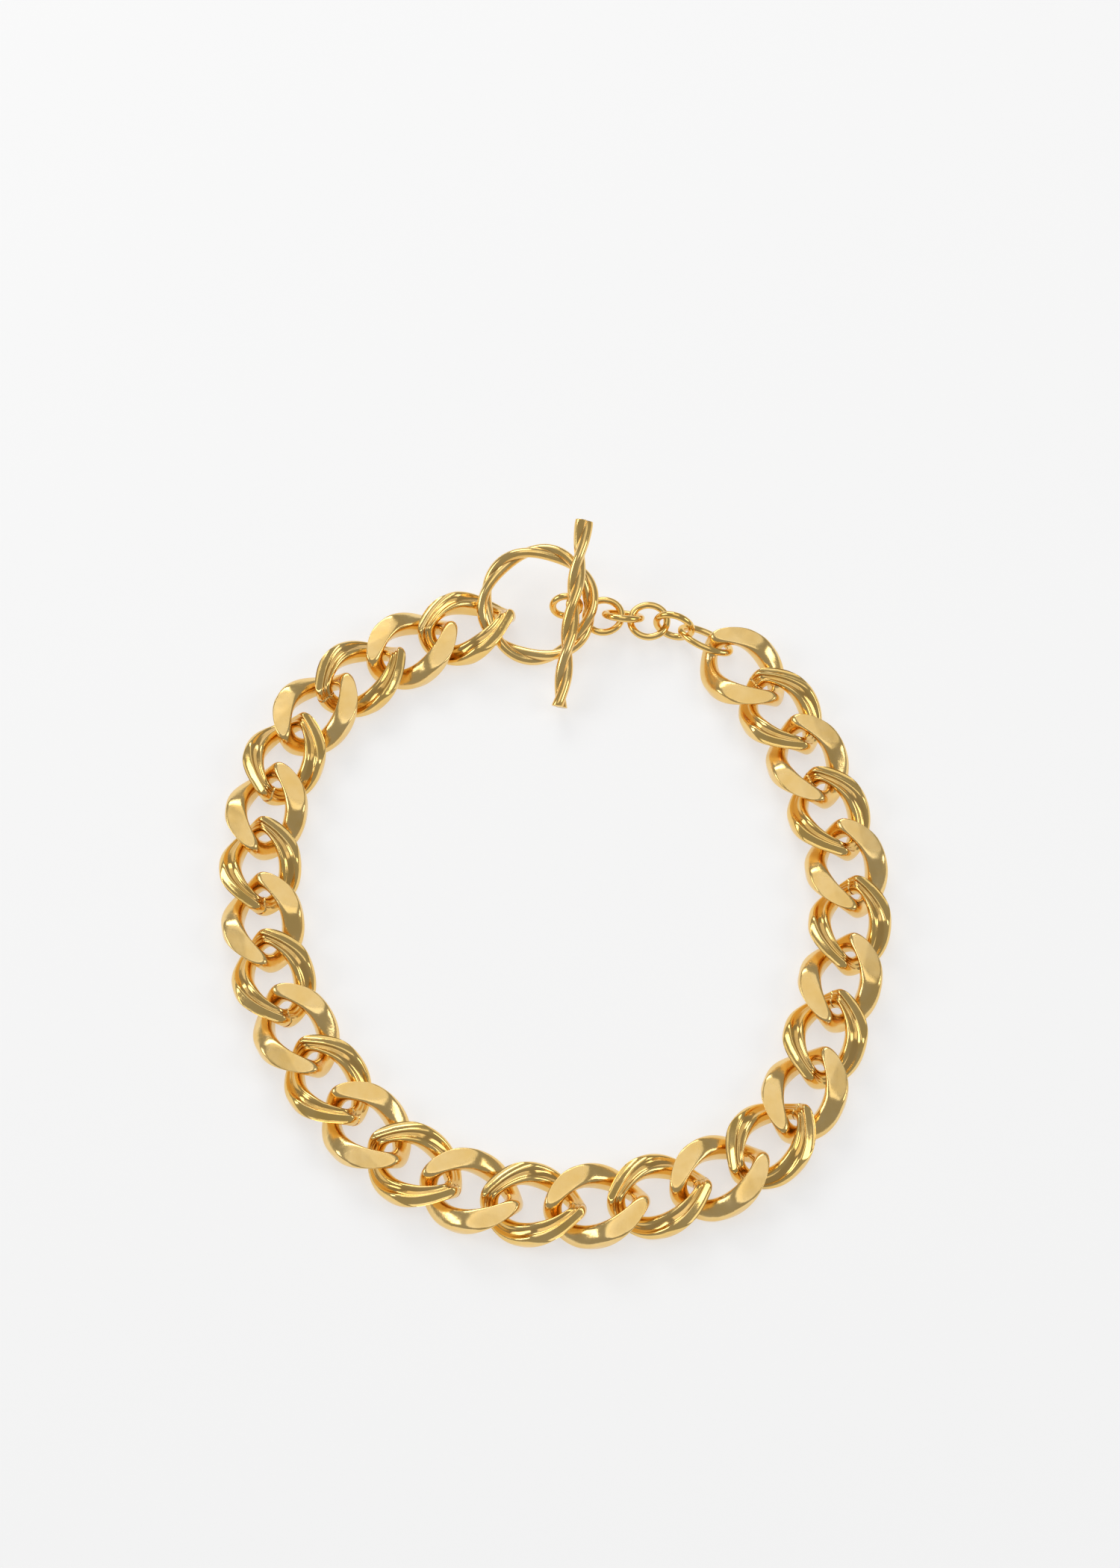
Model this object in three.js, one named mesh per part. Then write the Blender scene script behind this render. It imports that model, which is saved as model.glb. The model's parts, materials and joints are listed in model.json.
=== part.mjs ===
// A curb chain necklace lying closed on a table: ribbed and smooth links by turns, a twisted ring
// and a twisted bar as its toggle clasp, and a short run of plain round-wire links behind the bar.
// Millimetres, +Z up. +Y points from the wearer's chest side of the loop to the clasp.

import * as THREE from 'three';
import { ParametricGeometry } from 'three/addons/geometries/ParametricGeometry.js';

// ---- driving dimensions -------------------------------------------------------------------------

const PITCH = 13.5;               // from one curb link's centre to the next, as they lie
const CURB_LENGTH = 22.8;
const CURB_WIDTH = 18.2;          // over both long sides
const CURB_HEIGHT = 6.4;          // after both faces are filed flat
const CURB_SIDE = [5.0, 5.4];     // the wire half way along a side: across the link, then square to it
const CURB_END = [4.0, 3.6];      // the same at the two ends, where neighbours hook in
const CURB_TWIST = 68;            // degrees that each end is turned out of the middle
const CURB_SQUARENESS = 2.2;      // 2 is an ellipse, more is squarer
const CURB_STEPS = 24;            // sections round one curb link
const PAIRS = 14;                 // one ribbed and one smooth link in each

const ROUND_WIRE = 1.65;          // wire of the plain links behind the bar
const ROUND_SIDES = 8;
const ROUND_STEPS = 16;
const PLAIN_LINK = [9.9, 9.6];    // length and width
const CONNECTOR = [13.8, 9.2];    // the longer one that joins them to the last curb link
const LOOP_OUTER = 7.8;           // the loop soldered under the middle of the bar

const RING_OUTER = 28.4;
const RING_WIRE = 4.05;           // over both strands of the twist
const RING_HALF_TURNS = 6;
const RING_STEPS = 42;
const BAR_LENGTH = 43.0;
const BAR_WIRE = 4.0;
const BAR_HALF_TURNS = 3.9;
const BAR_LEAD = 128;             // degrees its strands are already turned at the middle
const BAR_STEPS = 24;
const STRAND = 0.29;              // a strand's radius as a share of the wire that two of them make
const STRAND_SIDES = 10;

// Where the clasp lies: the middle of each piece, its heading, and how far it is rolled over.
const RING_AT = { at: [-5.07, 42.0, 6.0], heading: 12.9, roll: 17.8, pitch: 8.4 };
const BAR_AT = { at: [2.7, 37.8, 9.6], heading: -7.9, roll: 17.3 };
const LOOP_AT = { at: [1.45, 41.9, 5.25], roll: 71.3 };
const PLAIN_AT = [
  { at: [9.95, 40.6, 2.7], heading: 180.6, roll: -3.2, pitch: -3.3 },
  { at: [14.4, 39.9, 4.17], heading: 172.5, roll: 55 },
  { at: [20.25, 38.75, 3.92], heading: 178.6, roll: -2 },
  { at: [26.0, 37.1, 4.75], heading: 163.3, roll: -81 },
];
const CONNECTOR_AT = { at: [33.15, 34.2, 3.3], heading: 151, roll: 40 };
const FIRST_AT = { at: [-21.2, 37.4, 3.78], heading: -166.2, roll: 6.05, pitch: -4.2 };

// How far each curb link turns from the one before it, in degrees, as the chain happens to lie.
// Every row is one quarter of the way from the ring round to the plain links.
const TURNS = [
  16.2, 3, 18, 18, 11, 12, 5,
  10, 12, 6, 9, 14, 15, 10,
  13, 7, 11, 21, 20, 8, 2,
  8, 16, 11, -2, 14, 12,
];

// ---- sections -----------------------------------------------------------------------------------

// Each is a closed outline in the order outward, up, inward, down: [across, up] in half wires, and
// for the bottom of a groove also the share of the filed height that it stays under.
const SMOOTH_SECTION = [
  [1, 0.6], [0.7, 1], [-0.6, 1], [-1, 0.4], [-1, -0.4], [-0.6, -1], [0.7, -1], [1, -0.6],
];
const GROOVE = 0.86;
const RIBBED_SECTION = [
  [1, 0.5], [0.55, 1], [0, 0.65, GROOVE], [-0.55, 1], [-1, 0.4],
  [-1, -0.4], [-0.55, -1], [0, -0.65, GROOVE], [0.55, -1], [1, -0.5],
];

function around(sides) {
  return Array.from({ length: sides }, (_, i) => (2 * Math.PI * (i + 0.5)) / sides);
}
const roundSection = (sides) => around(sides).map((angle) => [Math.cos(angle), Math.sin(angle)]);

// Two round strands side by side, wrapped into one outline.
function strandSection(width, sides) {
  const strand = width * STRAND;
  return around(sides).map((angle) => {
    const side = Math.sign(Math.cos(angle)) * (width / 2 - strand);
    return [side + strand * Math.cos(angle), strand * Math.sin(angle)];
  });
}

// ---- shapes -------------------------------------------------------------------------------------

const power = (value, exponent) => Math.sign(value) * Math.abs(value) ** exponent;
const wrap = (index, count) => ((index % count) + count) % count;

// A closed oval of wire, lying along x, with an optional twist about x that turns its two ends
// opposite ways, and both faces filed off at half the height.
function ovalLink({
  length, width, side, end, section, steps, squareness = 2, twist = 0, height = Infinity,
}) {
  const [halfLength, halfWidth] = [(length - end[0]) / 2, (width - side[0]) / 2];
  const perMillimetre = THREE.MathUtils.degToRad(twist) / (length / 2);
  return new ParametricGeometry((u, v, target) => {
    const angle = (2 * Math.PI * wrap(Math.round(u * steps), steps)) / steps;
    const corner = wrap(Math.round(v * section.length), section.length);
    const [acrossShare, upShare, reach = 1] = section[corner];
    const sideways = Math.sin(angle) ** 2;
    const across = (acrossShare * THREE.MathUtils.lerp(end[0], side[0], sideways)) / 2;
    const up = (upShare * THREE.MathUtils.lerp(end[1], side[1], sideways)) / 2;
    const x = halfLength * power(Math.cos(angle), 2 / squareness);
    const y = halfWidth * power(Math.sin(angle), 2 / squareness);
    const outward = new THREE.Vector2(
      power(x / halfLength, squareness - 1) / halfLength,
      power(y / halfWidth, squareness - 1) / halfWidth,
    ).normalize();
    const along = x + across * outward.x;
    const aside = y + across * outward.y;
    const roll = -perMillimetre * along;
    const flat = (reach * height) / 2;
    const z = THREE.MathUtils.clamp(aside * Math.sin(roll) + up * Math.cos(roll), -flat, flat);
    target.set(along, aside * Math.cos(roll) - up * Math.sin(roll), z);
  }, steps, section.length);
}

// A ring of two strands wound round each other.
function twistedRing({ outer, wire, halfTurns, steps, sides }) {
  const section = strandSection(wire, sides);
  const radius = (outer - wire) / 2;
  return new ParametricGeometry((u, v, target) => {
    const step = wrap(Math.round(u * steps), steps);
    const angle = (2 * Math.PI * step) / steps;
    // an odd number of half turns brings the outline back onto itself half way round
    const shift = u === 1 && halfTurns % 2 ? sides / 2 : 0;
    const [across, up] = section[wrap(Math.round(v * sides) + shift, sides)];
    const turn = (-Math.PI * halfTurns * step) / steps;
    const out = radius + across * Math.cos(turn) - up * Math.sin(turn);
    target.set(out * Math.cos(angle), out * Math.sin(angle), across * Math.sin(turn) + up * Math.cos(turn));
  }, steps, sides);
}

// A straight bar of two strands wound round each other, lying along y, with closed ends.
function twistedBar({ length, wire, halfTurns, lead, steps, sides }) {
  const section = strandSection(wire, sides);
  return new ParametricGeometry((u, v, target) => {
    const row = Math.round(u * (steps + 2));
    const y = length * (THREE.MathUtils.clamp((row - 1) / steps, 0, 1) - 0.5);
    if (row === 0 || row === steps + 2) {
      target.set(0, y, 0);
      return;
    }
    const [across, up] = section[wrap(Math.round(v * sides), sides)];
    const turn = THREE.MathUtils.degToRad(lead) - (Math.PI * halfTurns * y) / length;
    target.set(
      across * Math.cos(turn) - up * Math.sin(turn),
      y,
      across * Math.sin(turn) + up * Math.cos(turn),
    );
  }, steps + 2, sides);
}

// ---- materials ----------------------------------------------------------------------------------

const gold = (color, roughness) => new THREE.MeshStandardMaterial({ color, roughness, metalness: 1 });
const polishedGold = gold('#d9a441', 0.22);
const cutGold = gold('#e2b765', 0.3);
const wireGold = gold('#d39a35', 0.18);

// ---- assembly -----------------------------------------------------------------------------------

const necklace = new THREE.Group();

function place(name, geometry, material, { at, heading = 0, roll = 0, pitch = 0 }) {
  const mesh = new THREE.Mesh(geometry, material);
  mesh.name = name;
  mesh.position.set(...at);
  const [x, y, z] = [roll, -pitch, heading].map(THREE.MathUtils.degToRad);
  mesh.rotation.set(x, y, z, 'ZYX');
  necklace.add(mesh);
  return mesh;
}

const curb = {
  length: CURB_LENGTH, width: CURB_WIDTH, height: CURB_HEIGHT, side: CURB_SIDE, end: CURB_END,
  twist: CURB_TWIST, squareness: CURB_SQUARENESS, steps: CURB_STEPS,
};
const ribbedLink = ovalLink({ ...curb, section: RIBBED_SECTION });
const smoothLink = ovalLink({ ...curb, section: SMOOTH_SECTION });

function direction(degrees) {
  const angle = THREE.MathUtils.degToRad(degrees);
  return new THREE.Vector2(Math.cos(angle), Math.sin(angle));
}

const centre = new THREE.Vector2(...FIRST_AT.at);
let { heading } = FIRST_AT;
for (let i = 0; i < 2 * PAIRS; i++) {
  const ribbed = i % 2 === 0;
  const number = String(Math.floor(i / 2) + 1).padStart(2, '0');
  const lying = i === 0 ? FIRST_AT : { at: [centre.x, centre.y, CURB_HEIGHT / 2], heading };
  place(ribbed ? `ribbed_link_${number}` : `smooth_link_${number}`, ribbed ? ribbedLink : smoothLink,
    ribbed ? polishedGold : cutGold, lying);
  centre.addScaledVector(direction(heading), PITCH / 2);
  heading += TURNS[i] ?? 0;
  centre.addScaledVector(direction(heading), PITCH / 2);
}

const roundWire = roundSection(ROUND_SIDES);
function roundLink([length, width]) {
  const wire = [ROUND_WIRE, ROUND_WIRE];
  return ovalLink({ length, width, side: wire, end: wire, section: roundWire, steps: ROUND_STEPS });
}

place('connector_link', roundLink(CONNECTOR), wireGold, CONNECTOR_AT);
PLAIN_AT.forEach((where, i) => place(`plain_link_${i + 1}`, roundLink(PLAIN_LINK), wireGold, where));
place('bar_loop', roundLink([LOOP_OUTER, LOOP_OUTER]), wireGold, LOOP_AT);
place('toggle_bar', twistedBar({
  length: BAR_LENGTH, wire: BAR_WIRE, halfTurns: BAR_HALF_TURNS, lead: BAR_LEAD,
  steps: BAR_STEPS, sides: STRAND_SIDES,
}), polishedGold, BAR_AT);
place('toggle_ring', twistedRing({
  outer: RING_OUTER, wire: RING_WIRE, halfTurns: RING_HALF_TURNS,
  steps: RING_STEPS, sides: STRAND_SIDES,
}), polishedGold, RING_AT);

// The origin is under the middle of the whole necklace, on the surface that it lies on.
const box = new THREE.Box3().setFromObject(necklace, true);
necklace.position.copy(box.getCenter(new THREE.Vector3())).setZ(box.min.z).negate();

export default necklace;
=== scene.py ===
import json
import math
import bpy
import numpy as np
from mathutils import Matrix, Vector


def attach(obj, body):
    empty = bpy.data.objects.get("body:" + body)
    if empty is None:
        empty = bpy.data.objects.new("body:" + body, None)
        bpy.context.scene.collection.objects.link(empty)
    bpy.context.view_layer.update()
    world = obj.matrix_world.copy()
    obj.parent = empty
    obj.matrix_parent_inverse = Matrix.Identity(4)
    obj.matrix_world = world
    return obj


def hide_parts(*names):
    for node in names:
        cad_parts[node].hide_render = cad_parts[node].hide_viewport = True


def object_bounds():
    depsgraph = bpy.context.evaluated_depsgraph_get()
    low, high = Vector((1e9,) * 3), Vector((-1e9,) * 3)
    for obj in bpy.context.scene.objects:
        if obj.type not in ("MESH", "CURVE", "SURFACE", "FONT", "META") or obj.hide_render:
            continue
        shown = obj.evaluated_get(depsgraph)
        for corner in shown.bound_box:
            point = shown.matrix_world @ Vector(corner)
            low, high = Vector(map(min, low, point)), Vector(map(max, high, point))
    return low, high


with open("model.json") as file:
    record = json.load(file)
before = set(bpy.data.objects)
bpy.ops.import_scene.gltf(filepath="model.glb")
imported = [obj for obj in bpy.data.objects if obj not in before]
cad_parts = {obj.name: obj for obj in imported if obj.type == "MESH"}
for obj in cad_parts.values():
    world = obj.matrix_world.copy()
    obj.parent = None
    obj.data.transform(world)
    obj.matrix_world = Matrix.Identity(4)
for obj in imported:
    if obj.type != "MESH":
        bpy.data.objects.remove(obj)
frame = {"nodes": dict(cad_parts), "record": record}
cad_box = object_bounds()
bodies = frame["record"]["behaviour"]["bodies"]
body_of = {node: body for body, nodes in bodies.items() for node in nodes}

# A gold curb chain lying in a closed loop: filed and ribbed links by turns, a toggle clasp of
# twisted wire, and a short run of round links behind its bar. Shapes are in millimetres in each
# piece's own axes, and are laid down in metres where the piece's plain solid lies.
MM = 0.001

# ---- curb links -----------------------------------------------------------------------------------
LINK_LENGTH, LINK_WIDTH, LINK_HEIGHT = 22.8, 18.2, 6.4
SIDE_WIRE = (5.0, 5.4)        # across and square to the link, half way along a side
END_WIRE = (4.0, 3.6)         # the same at the two ends, where the neighbours hook in
SQUARENESS = 2.2              # of the link's outline: 2 is an ellipse
LINK_TWIST = math.radians(68)   # how far each end is turned out of the middle
TWIST_START = 0.78            # how fast the twist starts from the middle, 1 being evenly
END_ROUNDNESS = 2.1           # of the wire's section: 2 is an ellipse, more is squarer
FILED_SQUARER, RIBBED_SQUARER = 0.9, 0.6   # how much squarer it is half way along a side
FACE_INNER, FACE_SLOPE = 4.1, 0.09   # a broad face falls away outward from this distance
FILED_EDGE = 0.75             # how softly a filed face meets the wire
RIB_EDGE = 0.7                # the same on the ribbed links, which are pressed, not filed
GROOVE_DEPTH, GROOVE_WIDTH = 0.42, 0.34    # between two ribs, in half wires
BEAD_SHARE, BEAD_WIDTH = 0.5, 0.13    # the thin bead along its middle, and its width
RIB_TOP, RIB_HOLLOW, RIB_FALL = 1.12, 0.44, 0.34   # shares of the height where a rib is pressed
KERF = 0.34                   # the saw cut where a ribbed link was closed
KERF_NECK = 0.72              # what is left of the wire's size in the cut
KERF_LIPS = (-1.0, -0.55, -0.45, 0.45, 0.55, 1.0)   # rows across the cut, in kerfs
KERF_FLOOR = 0.5              # half the cut's width, in kerfs

# ---- round wire and clasp -------------------------------------------------------------------------
ROUND_WIRE = 1.6
ROUND_LINKS = {"connector_link": (13.8, 9.2), "bar_loop": (7.8, 7.8)}
ROUND_LINKS |= {f"plain_link_{i}": (9.9, 9.6) for i in range(1, 5)}
RING_OUTER, RING_WIRE, RING_HALF_TURNS = 28.2, 3.86, 6
RING_HEADING = math.radians(12.9)   # towards the place where its strands lie side by side
BAR_LENGTH, BAR_WIRE, BAR_HALF_TURNS = 43.0, 3.95, 3.9
BAR_LEAD = math.radians(128)  # how far its strands are turned at the middle
FLARE, FLARE_LENGTH = 0.12, 2.2    # how much the bar's sawn ends are spread, and over how much
STRAND = 0.3                  # a strand's radius as a share of the wire that two of them make
CREASE = 0.2                  # half width of the painted shade between them, as a share of their width
SOLDER_SIZE, SOLDER_DROP = (1.3, 1.9, 0.9), 1.5    # half sizes, and how far under the bar's axis

# ---- how finely each skin is divided --------------------------------------------------------------
LINK_STEPS, LINK_SIDES = 256, 64
RING_STEPS, BAR_STEPS, STRAND_SIDES = 420, 320, 48
ROUND_STEPS, ROUND_SIDES = 120, 28
SOLDER_ROWS, SOLDER_SIDES, SOLDER_POLE = 24, 32, 0.05


# ---- placing and skinning -------------------------------------------------------------------------
def solid_points(node):
    """The different corners of a plain solid, in metres."""
    mesh = frame["nodes"][node].data
    flat = np.empty(3 * len(mesh.vertices), dtype=np.float32)
    mesh.vertices.foreach_get("co", flat)
    return np.unique(np.round(flat.reshape(-1, 3).astype(float), 6), axis=0)


def lie_of(node):
    """Where a piece lies: its middle, and its own x, y and z axes as rows.

    Every piece looks the same after half a turn about each of its axes, so its axes are the
    directions in which its corners spread most, less and least, and its middle is their mean."""
    points = solid_points(node)
    middle = points.mean(axis=0)
    directions = np.linalg.eigh(np.cov((points - middle).T))[1]
    x, z = directions[:, 2], directions[:, 0]
    z = z if z[2] > 0 else -z
    x = x if x[0] > 0 else -x
    return middle, np.array([x, np.cross(z, x), z])


def lay(points, middle, axes):
    """Points in a piece's own axes and millimetres, as metres where the piece lies."""
    return points @ axes * MM + middle


def grid_faces(rows, sides, closed):
    """Quads of a grid whose sides join up, and whose rows join up too where it is closed."""
    row = np.arange(rows if closed else rows - 1)[:, None]
    side = np.arange(sides)[None, :]
    after, beside = (row + 1) % rows, (side + 1) % sides
    corners = [row * sides + side, after * sides + side, after * sides + beside, row * sides + beside]
    return np.stack([np.broadcast_to(c, (len(row), sides)) for c in corners], axis=-1).reshape(-1, 4)


def make_piece(name, grid, material, closed=True, marks=None):
    """A smooth object from a grid of points in metres; an open tube gets a point in each end.

    marks is an attribute's name and its value at each grid point."""
    rows, sides, _ = grid.shape
    points = grid.reshape(-1, 3)
    faces = [tuple(f) for f in grid_faces(rows, sides, closed).tolist()]
    if not closed:
        first, last = len(points), len(points) + 1
        points = np.vstack([points, grid[0].mean(axis=0), grid[-1].mean(axis=0)])
        start = (rows - 1) * sides
        faces += [(first, i, (i + 1) % sides) for i in range(sides)]
        faces += [(last, start + (i + 1) % sides, start + i) for i in range(sides)]
    mesh = bpy.data.meshes.new(name)
    mesh.from_pydata(points.tolist(), [], faces)
    mesh.polygons.foreach_set("use_smooth", np.ones(len(mesh.polygons), dtype=bool))
    if marks:
        kind, values = marks
        full = np.zeros(len(points), dtype=np.float32)
        full[: values.size] = values.reshape(-1)
        mesh.attributes.new(kind, "FLOAT", "POINT").data.foreach_set("value", full)
    mesh.materials.append(material)
    mesh.update()
    piece = bpy.data.objects.new(name, mesh)
    bpy.context.scene.collection.objects.link(piece)
    return piece


def stand_for(piece, node):
    """Puts a skin in the place of a plain solid, on the body that the solid belongs to."""
    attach(piece, body_of[node])
    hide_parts(node)


# ---- curb links' surface --------------------------------------------------------------------------
def signed_power(value, exponent):
    """value raised to the exponent, keeping its sign."""
    return np.sign(value) * np.abs(value) ** exponent


def soft_limit(value, limit, ease):
    """value held between -limit and limit, turning over within ease of it."""
    size = np.abs(value)
    share = np.clip(0.5 + 0.5 * (limit - size) / ease, 0, 1)
    return np.sign(value) * (limit * (1 - share) + size * share - ease * share * (1 - share))


def filed_outline(turn, sideways):
    """Cos and sin of the turn raised to 2/k, where k grows from the link's ends to its sides."""
    k = END_ROUNDNESS + FILED_SQUARER * sideways
    return signed_power(np.cos(turn), 2 / k), signed_power(np.sin(turn), 2 / k)


def ribbed_outline(turn, sideways):
    """The same, growing less, with a groove along the middle of each broad face."""
    k = END_ROUNDNESS + RIBBED_SQUARER * sideways
    across, up = signed_power(np.cos(turn), 2 / k), signed_power(np.sin(turn), 2 / k)
    return across, up * (1 - GROOVE_DEPTH * groove(across))


def groove(across):
    """A bell-shaped hollow with a thinner bell-shaped bead standing in it."""
    bell = np.exp(-((across / GROOVE_WIDTH) ** 2))
    return bell - BEAD_SHARE * np.exp(-((across / BEAD_WIDTH) ** 2))


def ribs(across):
    """Share of the filed height that a ribbed link keeps: less in the groove, and less outward
    by the square of the distance from it."""
    return RIB_TOP - RIB_HOLLOW * groove(across) - RIB_FALL * across**2


def curb_link(outline, edge, ribbed):
    """Grid of a curb link's surface, and how deep in a groove or how far filed each point is.

    The middle of the wire runs on a superellipse. Its section is the outline, stretched from the
    end wire's size to the side wire's by the square of the sine of the way round. The whole is
    turned about x by an angle that grows with x and with its cube, and its height is then held to
    the filed height, which falls in a straight slope from the hole outwards. A ribbed link is
    also cut through part of its wire at its +x end."""
    way = 2 * np.pi * np.arange(LINK_STEPS) / LINK_STEPS
    if ribbed:
        reach = KERF / (LINK_WIDTH / 2)
        lips = np.array(KERF_LIPS) * reach
        way = np.sort(np.concatenate([way[np.abs(np.sin(way / 2)) > reach / 2], lips % (2 * np.pi)]))
    way = way[:, None]
    turn = 2 * np.pi * (np.arange(LINK_SIDES)[None, :] + 0.5) / LINK_SIDES
    sideways = np.sin(way) ** 2
    across_share, up_share = outline(turn, sideways)
    across = across_share * (END_WIRE[0] + (SIDE_WIRE[0] - END_WIRE[0]) * sideways) / 2
    up = up_share * (END_WIRE[1] + (SIDE_WIRE[1] - END_WIRE[1]) * sideways) / 2
    if ribbed:
        off = np.abs((way + np.pi) % (2 * np.pi) - np.pi)
        shrink = np.where(off < KERF_FLOOR * reach, KERF_NECK, 1.0)
        across, up = across * shrink, up * shrink
    half = np.array([(LINK_LENGTH - END_WIRE[0]) / 2, (LINK_WIDTH - SIDE_WIRE[0]) / 2])
    x = half[0] * signed_power(np.cos(way), 2 / SQUARENESS)
    y = half[1] * signed_power(np.sin(way), 2 / SQUARENESS)
    out_x = signed_power(x / half[0], SQUARENESS - 1) / half[0]
    out_y = signed_power(y / half[1], SQUARENESS - 1) / half[1]
    size = np.hypot(out_x, out_y)
    along, aside = x + across * out_x / size, y + across * out_y / size
    reach_out = along / (LINK_LENGTH / 2)
    roll = -LINK_TWIST * reach_out * (TWIST_START + (1 - TWIST_START) * reach_out**2)
    height = aside * np.sin(roll) + up * np.cos(roll)
    level = aside * np.cos(roll) - up * np.sin(roll)
    fall = FACE_SLOPE * np.clip(np.abs(level) - FACE_INNER, 0, None)
    limit = (LINK_HEIGHT / 2 - fall) * (ribs(across_share) if ribbed else 1)
    held = soft_limit(height, limit, edge)
    if ribbed:
        # the groove's depth, which sets how much painted shade lies in it
        mark = np.clip(groove(across_share), 0, 1) + 0 * held
    else:
        mark = np.clip((np.abs(height) - limit) / (2 * edge), 0, 1)
    return np.stack([along, level, held], axis=-1), mark


# ---- round and twisted wire -----------------------------------------------------------------------
def round_link(length, width):
    """Grid of an oval ring of round wire: an ellipse with a circle carried square to it."""
    way = 2 * np.pi * np.arange(ROUND_STEPS)[:, None] / ROUND_STEPS
    turn = 2 * np.pi * np.arange(ROUND_SIDES)[None, :] / ROUND_SIDES
    half_x, half_y = (length - ROUND_WIRE) / 2, (width - ROUND_WIRE) / 2
    out = np.stack([np.cos(way) / half_x, np.sin(way) / half_y])
    out = out / np.hypot(*out)
    reach = ROUND_WIRE / 2 * np.cos(turn)
    x = half_x * np.cos(way) + reach * out[0]
    y = half_y * np.sin(way) + reach * out[1]
    return np.stack([x, y, ROUND_WIRE / 2 * np.sin(turn) + 0 * x], axis=-1)


def two_strands(turn, radius, apart):
    """Distance from the middle to the edge of two overlapping circles, apart either side of it."""
    return apart * np.abs(np.cos(turn)) + np.sqrt(radius**2 - (apart * np.sin(turn)) ** 2)


def between(turn):
    """How deep between the two strands, where the shade is painted: 1 where they meet, falling away as a
    bell.
    """
    return np.exp(-((np.cos(turn) / CREASE) ** 2))


def twisted_ring():
    """Grid of a ring whose section is two strands, turned by so many half turns on the way round."""
    way = 2 * np.pi * np.arange(RING_STEPS)[:, None] / RING_STEPS
    turn = 2 * np.pi * np.arange(STRAND_SIDES)[None, :] / STRAND_SIDES
    radius = STRAND * RING_WIRE
    edge = two_strands(turn, radius, RING_WIRE / 2 - radius)
    lead = -RING_HALF_TURNS / 2 * way
    out = (RING_OUTER - RING_WIRE) / 2 + edge * np.cos(turn + lead)
    grid = np.stack([out * np.cos(way), out * np.sin(way), edge * np.sin(turn + lead)], axis=-1)
    return grid, between(turn) + 0 * out


def twisted_bar():
    """Grid of a straight bar along y whose section is two strands, spread at the two sawn ends."""
    y = BAR_LENGTH * (np.arange(BAR_STEPS + 1)[:, None] / BAR_STEPS - 0.5)
    turn = 2 * np.pi * np.arange(STRAND_SIDES)[None, :] / STRAND_SIDES
    radius = STRAND * BAR_WIRE
    from_end = BAR_LENGTH / 2 - np.abs(y)
    spread = 1 + FLARE * np.exp(-((from_end / FLARE_LENGTH) ** 2))
    edge = two_strands(turn, radius * spread, (BAR_WIRE / 2 - radius) * spread)
    lead = BAR_LEAD - np.pi * BAR_HALF_TURNS * y / BAR_LENGTH
    grid = np.stack([edge * np.cos(turn + lead), y + 0 * edge, edge * np.sin(turn + lead)], axis=-1)
    return grid, between(turn) + 0 * edge


def solder_blob():
    """Grid of an ellipsoid along y: a sphere's two angles, stretched by its half sizes."""
    south = np.linspace(SOLDER_POLE, np.pi - SOLDER_POLE, SOLDER_ROWS)[:, None]
    turn = 2 * np.pi * np.arange(SOLDER_SIDES)[None, :] / SOLDER_SIDES
    unit = [np.sin(south) * np.sin(turn), np.cos(south) + 0 * turn, np.sin(south) * np.cos(turn)]
    return np.stack(unit, axis=-1) * SOLDER_SIZE


# ---- materials ------------------------------------------------------------------------------------
def node_in(tree, kind, inputs=(), **settings):
    """A node with its settings and inputs; an input that is a socket is linked."""
    node = tree.nodes.new(kind)
    for key, value in settings.items():
        setattr(node, key, value)
    for key, value in dict(inputs).items():
        if isinstance(value, bpy.types.NodeSocket):
            tree.links.new(value, node.inputs[key])
        else:
            node.inputs[key].default_value = value
    return node


# noise scales, in bumps a metre
DRIFT_SCALE, SPECKLE_SCALE, WAVE_SCALE, MARKS_SCALE = 150, 2400, 260, 2600
SPECKLE_WEAR = 0.35           # how far a speckle takes the roughness towards satin
FILED_WEAR = (0.75, 1.0)      # the same between and on the speckles of a filed face
MARKS_STRENGTH, SPECKLE_HEIGHT = 0.35, 0.5
# painted shade laid in the ribbed grooves and between twisted strands: its deep brown colour, and the share
# it reaches at full depth
PAINTED_SHADE, PAINTED_SHADE_SHARE = (0.5, 0.24, 0.05, 1), 0.6


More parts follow.
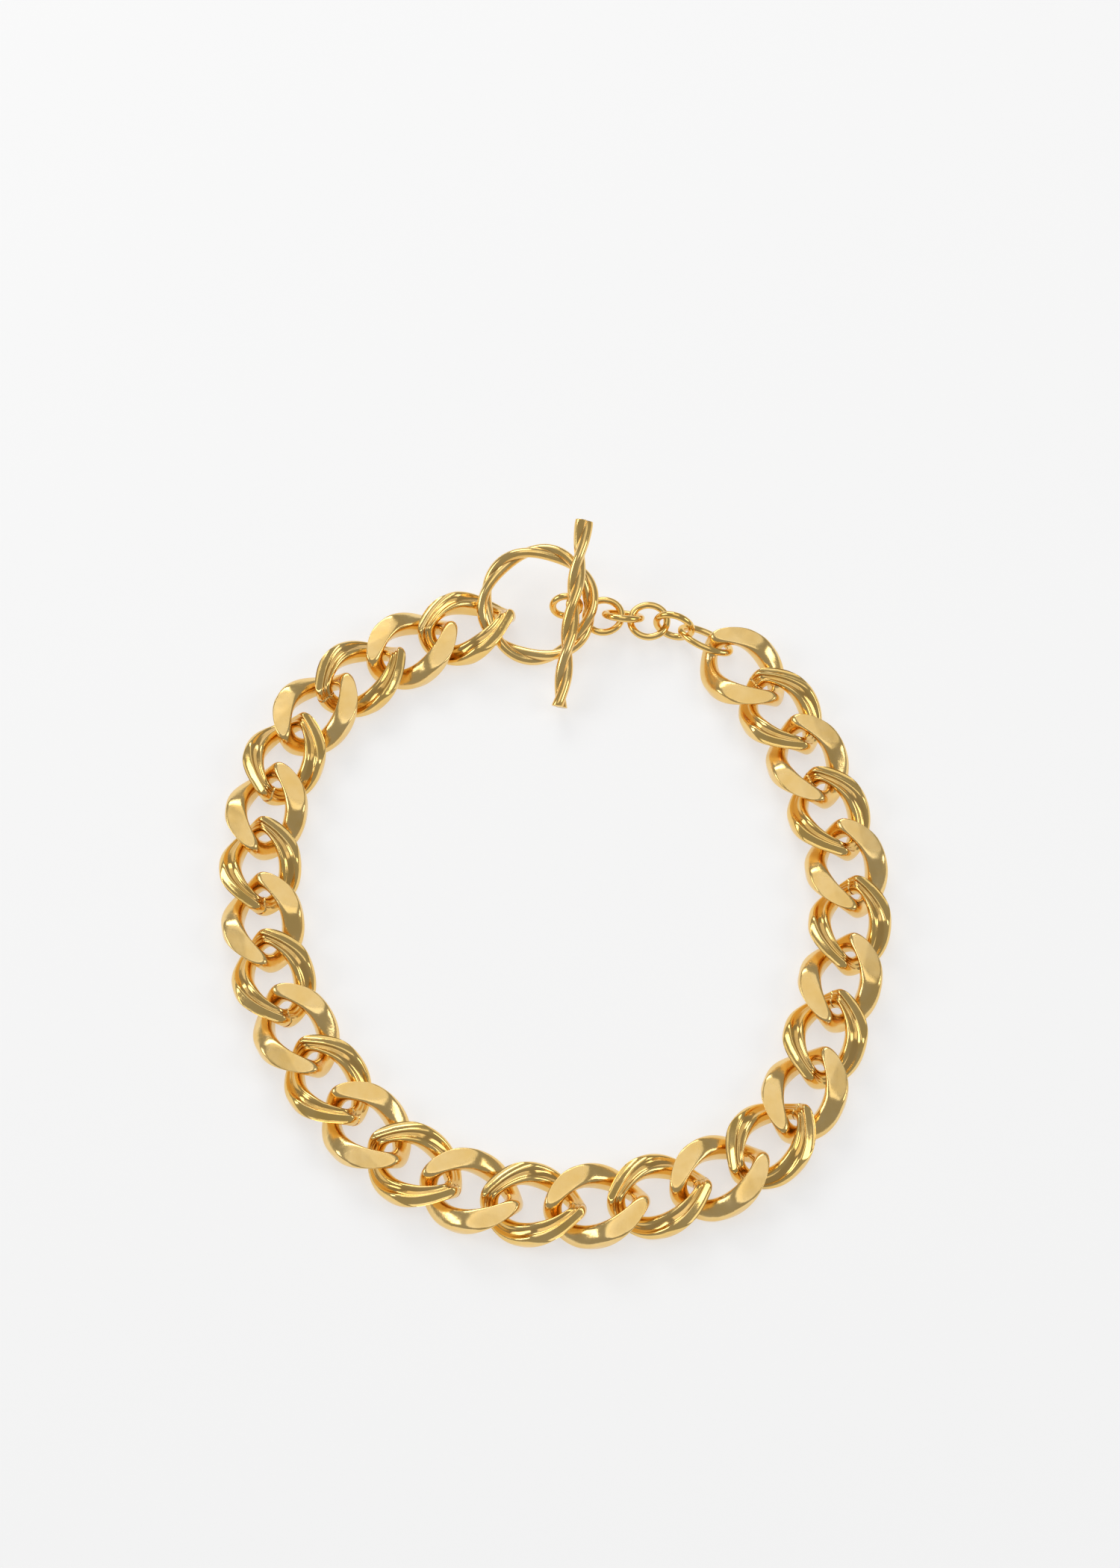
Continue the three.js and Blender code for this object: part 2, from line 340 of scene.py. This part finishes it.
def gold(name, tones, roughness, relief, mark=None):
    """Gold plate: colour drifts between two tones, roughness between shiny and satin.

    relief is the height of the fine tool marks and of the slow unevenness under them, in
    millimetres. mark names the attribute that shows: filed faces are satin, and creases get a
    painted shade."""
    material = bpy.data.materials.new(name)
    material.use_nodes = True
    tree = material.node_tree
    shader = tree.nodes["Principled BSDF"]
    shader.inputs["Metallic"].default_value = 1.0
    place = node_in(tree, "ShaderNodeTexCoord").outputs["Object"]

    def noise(scale, detail):
        values = {"Vector": place, "Scale": scale, "Detail": detail, "Roughness": 0.6}
        return node_in(tree, "ShaderNodeTexNoise", values).outputs["Fac"]

    def spread(value, low, high, to_low=0.0, to_high=1.0):
        values = {"Value": value, "From Min": low, "From Max": high, "To Min": to_low, "To Max": to_high}
        return node_in(tree, "ShaderNodeMapRange", values).outputs["Result"]

    def maths(operation, a, b):
        return node_in(tree, "ShaderNodeMath", {0: a, 1: b}, operation=operation).outputs[0]

    def mix(share, a, b):
        values = {"Factor": share, "A": a, "B": b}
        return node_in(tree, "ShaderNodeMix", values, data_type="RGBA").outputs["Result"]

    drift = spread(noise(DRIFT_SCALE, 3), 0.35, 0.65)
    speckle = spread(noise(SPECKLE_SCALE, 3), 0.45, 0.75)
    tone = mix(drift, *tones)
    wear = maths("MULTIPLY", speckle, SPECKLE_WEAR)
    if mark:
        shown = node_in(tree, "ShaderNodeAttribute", attribute_name=mark).outputs["Fac"]
    if mark == "filed":
        wear = maths("MAXIMUM", wear, maths("MULTIPLY", shown, spread(speckle, 0, 1, *FILED_WEAR)))
    # painted shade: the tone darkens towards deep brown where the crease mask is high
    if mark == "crease_shade":
        tone = mix(maths("MULTIPLY", shown, PAINTED_SHADE_SHARE), tone, PAINTED_SHADE)
    tree.links.new(tone, shader.inputs["Base Color"])
    tree.links.new(spread(wear, 0, 1, *roughness), shader.inputs["Roughness"])
    marks = maths("ADD", noise(MARKS_SCALE, 4), maths("MULTIPLY", speckle, SPECKLE_HEIGHT))
    slow = {"Height": noise(WAVE_SCALE, 1), "Strength": 1.0, "Distance": relief[1] * MM}
    uneven = node_in(tree, "ShaderNodeBump", slow).outputs["Normal"]
    fine = {"Height": marks, "Strength": MARKS_STRENGTH, "Distance": relief[0] * MM, "Normal": uneven}
    tree.links.new(node_in(tree, "ShaderNodeBump", fine).outputs["Normal"], shader.inputs["Normal"])
    return material


TABLE_TONES = ((0.50, 0.50, 0.50, 1), (0.51, 0.51, 0.51, 1))
TABLE_GLOW = 0.56


def lit_table():
    """Pale matt plastic lit from below: over half its brightness is its own, so shadows are thin."""
    material = bpy.data.materials.new("lit_table")
    material.use_nodes = True
    tree = material.node_tree
    shader = tree.nodes["Principled BSDF"]
    shader.inputs["Roughness"].default_value = 0.9
    shader.inputs["Specular IOR Level"].default_value = 0.1
    place = node_in(tree, "ShaderNodeTexCoord").outputs["Object"]
    grain = node_in(tree, "ShaderNodeTexNoise", {"Vector": place, "Scale": 900, "Detail": 2}).outputs["Fac"]
    values = {"Factor": grain, "A": TABLE_TONES[0], "B": TABLE_TONES[1]}
    tone = node_in(tree, "ShaderNodeMix", values, data_type="RGBA")
    tree.links.new(tone.outputs["Result"], shader.inputs["Base Color"])
    shader.inputs["Emission Color"].default_value = (1, 1, 1, 1)
    shader.inputs["Emission Strength"].default_value = TABLE_GLOW
    return material


RIBBED_TONES = ((0.95, 0.67, 0.26, 1), (0.91, 0.60, 0.18, 1))
FILED_TONES = ((0.95, 0.68, 0.29, 1), (0.91, 0.61, 0.21, 1))
TWISTED_TONES = ((0.96, 0.68, 0.27, 1), (0.92, 0.60, 0.19, 1))
WIRE_TONES = ((0.95, 0.65, 0.23, 1), (0.90, 0.57, 0.16, 1))
# the ribbed and twisted gold darken towards a painted shade in their grooves and creases
ribbed_gold = gold("ribbed_gold", RIBBED_TONES, (0.15, 0.26), (0.012, 0.12), "crease_shade")
filed_gold = gold("filed_gold", FILED_TONES, (0.16, 0.42), (0.03, 0.1), "filed")
twisted_gold = gold("twisted_gold", TWISTED_TONES, (0.14, 0.24), (0.008, 0.06), "crease_shade")
wire_gold = gold("wire_gold", WIRE_TONES, (0.12, 0.22), (0.006, 0.03))

# ---- the chain ------------------------------------------------------------------------------------
# a ribbed link's cut end points along the chain, but the first one's is hooked in the ring
ahead = {f"ribbed_link_{i:02d}": f"smooth_link_{i:02d}" for i in range(2, 15)}
ahead["ribbed_link_01"] = "toggle_ring"


def lie_ahead(node):
    """Where a curb link lies, with a ribbed one's x axis towards the piece ahead of it."""
    middle, axes = lie_of(node)
    if node in ahead and axes[0] @ (lie_of(ahead[node])[0] - middle) < 0:
        axes = axes * np.array([[-1], [-1], [1]])
    return middle, axes


def curb_links(kind, shape, material, mark):
    surface, values = shape
    for node in sorted(n for n in frame["nodes"] if n.startswith(kind)):
        skin = make_piece(f"{node}_skin", lay(surface, *lie_ahead(node)), material, marks=(mark, values))
        stand_for(skin, node)


curb_links("ribbed", curb_link(ribbed_outline, RIB_EDGE, ribbed=True), ribbed_gold, "crease_shade")
curb_links("smooth", curb_link(filed_outline, FILED_EDGE, ribbed=False), filed_gold, "filed")

for node, size in ROUND_LINKS.items():
    skin = make_piece(f"{node}_skin", lay(round_link(*size), *lie_of(node)), wire_gold)
    stand_for(skin, node)

# ---- the clasp ------------------------------------------------------------------------------------
middle, axes = lie_of("toggle_ring")
start = np.cross((-math.sin(RING_HEADING), math.cos(RING_HEADING), 0), axes[2])
start /= np.linalg.norm(start)
ring_axes = np.array([start, np.cross(axes[2], start), axes[2]])
surface, crease_shade = twisted_ring()
ring = make_piece("toggle_ring_skin", lay(surface, middle, ring_axes), twisted_gold,
                  marks=("crease_shade", crease_shade))
stand_for(ring, "toggle_ring")

middle, axes = lie_of("toggle_bar")
lengthways = axes[0] if axes[0][1] > 0 else -axes[0]
level = np.cross(lengthways, (0, 0, 1))
level /= np.linalg.norm(level)
bar_axes = np.array([level, lengthways, np.cross(level, lengthways)])
surface, crease_shade = twisted_bar()
bar = make_piece("toggle_bar_skin", lay(surface, middle, bar_axes), twisted_gold, closed=False,
                 marks=("crease_shade", crease_shade))
stand_for(bar, "toggle_bar")

# the loop is soldered to the underside of the bar
loop_middle = lie_of("bar_loop")[0]
foot = middle + lengthways * ((loop_middle - middle) @ lengthways)
hang = (loop_middle - foot) / np.linalg.norm(loop_middle - foot)
solder_axes = np.array([np.cross(lengthways, hang), lengthways, hang])
solder_middle = foot + hang * SOLDER_DROP * MM
solder = make_piece("bar_solder", lay(solder_blob(), solder_middle, solder_axes), wire_gold, closed=False)
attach(solder, "bar")

# ---- floor, light and camera ----------------------------------------------------------------------
scene = bpy.context.scene
scene.view_settings.view_transform = "Standard"


FLOOR_HALF, FLOOR_GAP = 3.0, 0.0001
corners = [(-FLOOR_HALF, -FLOOR_HALF, 0), (FLOOR_HALF, -FLOOR_HALF, 0)]
corners += [(FLOOR_HALF, FLOOR_HALF, 0), (-FLOOR_HALF, FLOOR_HALF, 0)]
sheet = bpy.data.meshes.new("floor")
sheet.from_pydata(corners, [], [(0, 1, 2, 3)])
sheet.materials.append(lit_table())
floor = bpy.data.objects.new("floor", sheet)
floor.location = (0, 0, cad_box[0][2] - FLOOR_GAP)
scene.collection.objects.link(floor)


def look_at(item, target):
    """Turns an item so that it looks along its own -Z at a point."""
    item.rotation_euler = (Vector(target) - item.location).to_track_quat("-Z", "Y").to_euler()


def soft_box(name, where, size, power):
    """A white rectangle of light facing the middle of the necklace, in metres and watts."""
    light = bpy.data.lights.new(name, "AREA")
    light.shape, light.size, light.size_y = "RECTANGLE", *size
    light.energy = power
    lamp = bpy.data.objects.new(name, light)
    lamp.location = where
    scene.collection.objects.link(lamp)
    look_at(lamp, (0, 0, 0))


soft_box("overhead", (0.0, 0.09, 1.3), (0.7, 0.65), 1.25)
soft_box("panel", (0.0, 0.75, 1.1), (1.0, 0.66), 1.15)
soft_box("back", (-0.3, 1.1, 0.7), (0.7, 0.45), 3.6)
soft_box("left", (-1.0, 0.1, 0.6), (0.5, 0.5), 2.4)
soft_box("right", (1.0, -0.1, 0.7), (0.5, 0.5), 2.0)

WORLD_STRENGTH = 0.32
world = bpy.data.worlds.new("studio")
world.use_nodes = True
world.node_tree.nodes["Background"].inputs["Color"].default_value = (1, 1, 1, 1)
world.node_tree.nodes["Background"].inputs["Strength"].default_value = WORLD_STRENGTH
scene.world = world

ELEVATION, DISTANCE, LENS = math.radians(66), 0.7374, 75.43
TARGET = (0.00137, 0.02465, 0.0)
camera_data = bpy.data.cameras.new("camera")
camera_data.lens = LENS
camera = bpy.data.objects.new("camera", camera_data)
camera.location = (TARGET[0], TARGET[1] - DISTANCE * math.cos(ELEVATION), DISTANCE * math.sin(ELEVATION))
scene.collection.objects.link(camera)
look_at(camera, TARGET)
scene.camera = camera
